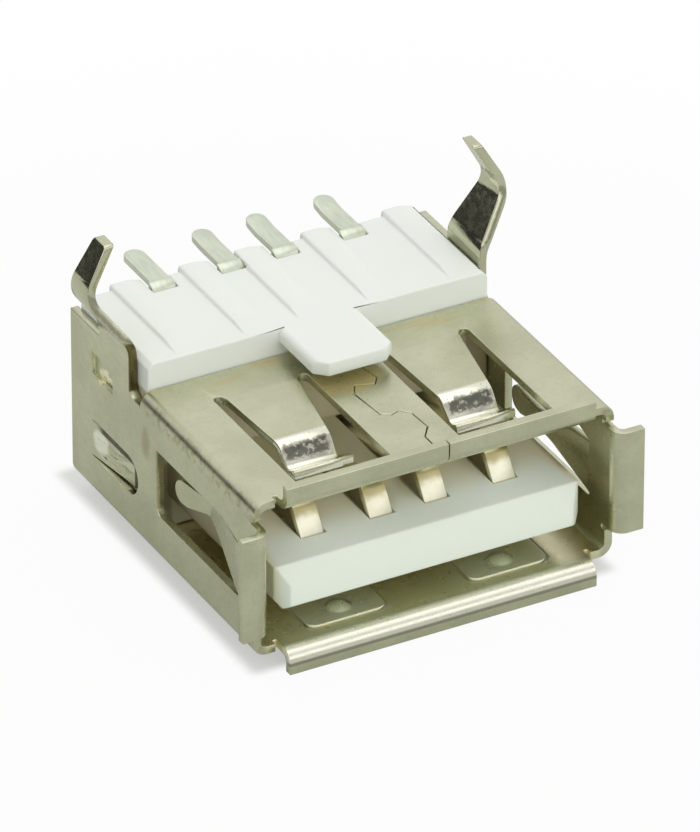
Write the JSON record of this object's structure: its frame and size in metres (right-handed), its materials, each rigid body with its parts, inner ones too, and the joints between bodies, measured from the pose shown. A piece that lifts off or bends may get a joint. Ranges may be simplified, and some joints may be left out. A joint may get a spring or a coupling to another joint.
{
  "type": "usb-a receptacle",
  "caption": "Board-mount USB-A socket: folded sheet-metal shell with mouth flanges, springs and kinked legs, moulded housing with tongue, formed contacts with solder tails.",
  "frame": {"origin": "middle of the part's footprint, at the height of its lowest edge (the lower mouth flange)", "axes": "+X to the right when looking into the mouth, +Y from the mouth to the solder tails, +Z towards the circuit board"},
  "size_m": [0.0152, 0.015, 0.0109],
  "materials": {
    "shell_plating": "bright nickel plating over cold-rolled sheet, warm grey, light handling marks and a brown heat stain",
    "housing_plastic": "cool white moulded thermoplastic, satin",
    "contact_plating": "flash gold over the contact crowns, matt tin on the solder tails"
  },
  "bodies": {
    "root": {"shell": "shell_plating", "housing": "housing_plastic", "contact_1": "contact_plating", "contact_2": "contact_plating", "contact_3": "contact_plating", "contact_4": "contact_plating"}
  },
  "joints": []
}
